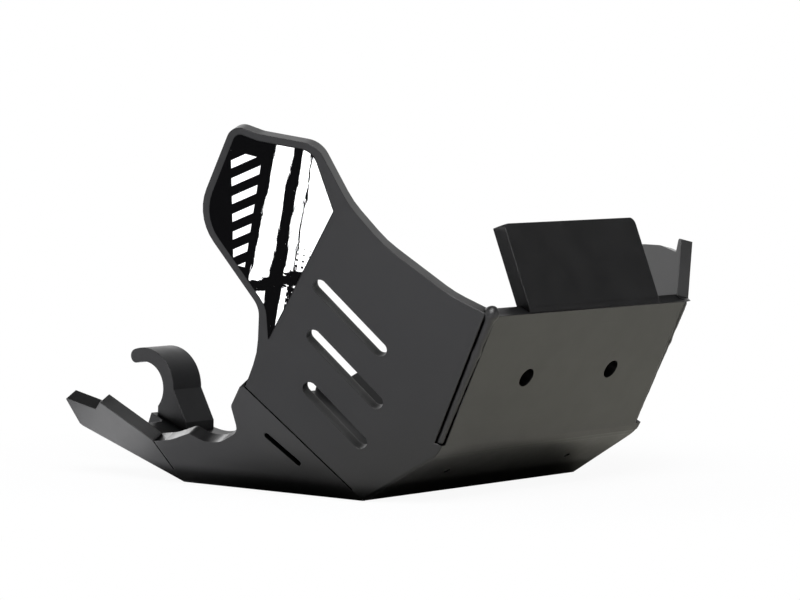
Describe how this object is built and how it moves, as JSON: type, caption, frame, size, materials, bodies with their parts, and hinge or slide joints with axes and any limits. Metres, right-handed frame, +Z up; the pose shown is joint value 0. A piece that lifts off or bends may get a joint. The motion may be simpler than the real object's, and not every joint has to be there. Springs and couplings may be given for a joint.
{
  "type": "motorcycle skid plate",
  "caption": "Folded black plastic skid plate with angled nose, vented side wings, one tall horn with a decal, top tab, front bolt holes and a rear hook.",
  "frame": {"origin": "centre of the bottom panel's underside, which the part rests on", "axes": "+X towards the motorcycle's front, +Y to its left, +Z up; the rear hook's bore runs along Y"},
  "size_m": [0.2922, 0.2967, 0.203],
  "materials": {
    "sheet": "satin black polyethylene sheet",
    "weld": "smooth plastic weld bead",
    "hook": "satin black polyethylene",
    "screw": "plain steel",
    "decal": "printed vinyl film"
  },
  "bodies": {
    "root": {"plate": "sheet", "right_weld": "weld", "left_weld": "weld", "rear_hook": "hook", "hook_screws": "screw", "decal": "decal"}
  },
  "joints": []
}
